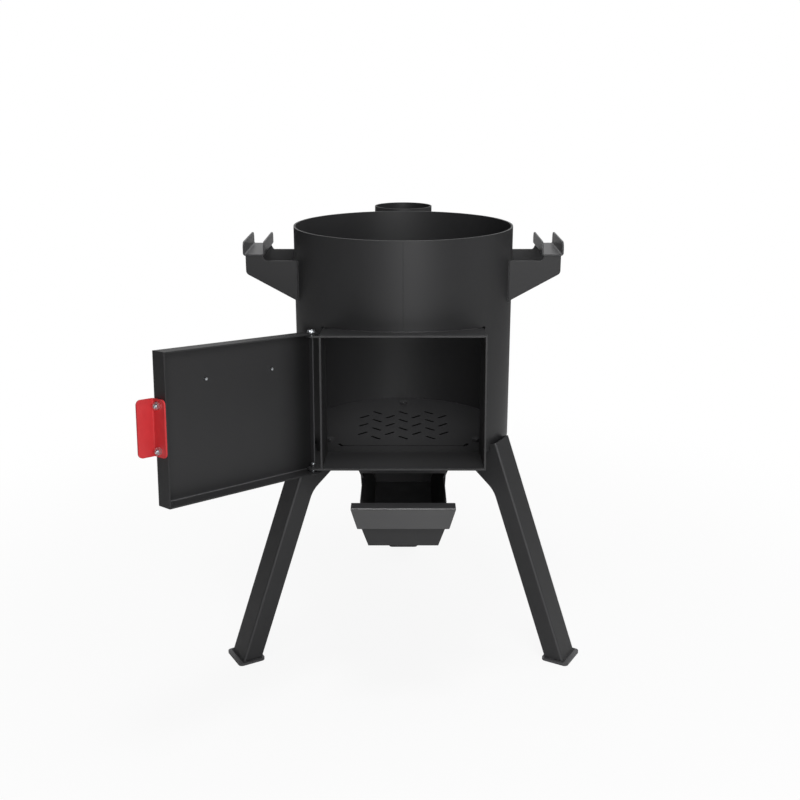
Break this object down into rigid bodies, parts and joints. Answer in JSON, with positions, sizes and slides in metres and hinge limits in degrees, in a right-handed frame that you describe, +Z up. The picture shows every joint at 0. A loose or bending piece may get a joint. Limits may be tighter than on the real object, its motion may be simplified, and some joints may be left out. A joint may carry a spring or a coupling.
{
  "type": "cauldron stove",
  "caption": "Round steel wood stove on splayed legs that holds a cauldron in its open top, with a hinged firebox door, slotted fire floor, ash drawer, side handles and flue.",
  "frame": {"origin": "on the ground, in the middle of the stored pose's bounding box", "axes": "+Z up along the shell and the flue, -Y out through the firebox door, +X to the right of someone who faces the door"},
  "size_m": [0.6548, 0.7644, 0.7128],
  "materials": {
    "black_paint": "matte heat-resistant paint",
    "red_paint": "satin powder coat",
    "zinc": "bright zinc plate"
  },
  "bodies": {
    "stove": {"body_shell": "black_paint", "fire_floor": "black_paint", "collar_top": "black_paint", "collar_sill": "black_paint", "collar_left": "black_paint", "collar_right": "black_paint", "hinge_bolt_top": "zinc", "hinge_bolt_bottom": "zinc", "hinge_washer_top": "zinc", "hinge_washer_bottom": "zinc", "leg_front_left": "black_paint", "leg_front_right": "black_paint", "leg_rear": "black_paint", "foot_front_left": "black_paint", "foot_front_right": "black_paint", "foot_rear": "black_paint", "leg_bolts": "black_paint", "leg_nuts": "black_paint", "flue_pipe": "black_paint", "flue_foot": "black_paint", "flue_neck": "black_paint", "handle_left_front": "black_paint", "handle_left_rear": "black_paint", "handle_left_grip": "black_paint", "handle_right_front": "black_paint", "handle_right_rear": "black_paint", "handle_right_grip": "black_paint", "rail_left": "black_paint", "rail_right": "black_paint", "ash_chute": "black_paint"},
    "door": {"door_panel": "black_paint", "door_pull": "red_paint", "door_pull_bolts": "zinc", "door_pull_nuts": "zinc"},
    "ash_drawer": {"drawer_tray": "black_paint", "drawer_front": "black_paint"}
  },
  "joints": [
    {"name": "door_hinge", "type": "hinge", "parent": "stove", "child": "door", "pos_m": [-0.11001, -0.16979, 0.47044], "axis": [0, 0.1045, 0.9945], "range_deg": [-36, 133.9]},
    {"name": "drawer_slide", "type": "slide", "parent": "stove", "child": "ash_drawer", "axis": [0, -1, 0], "range_m": [-0.089, 0.1]}
  ]
}
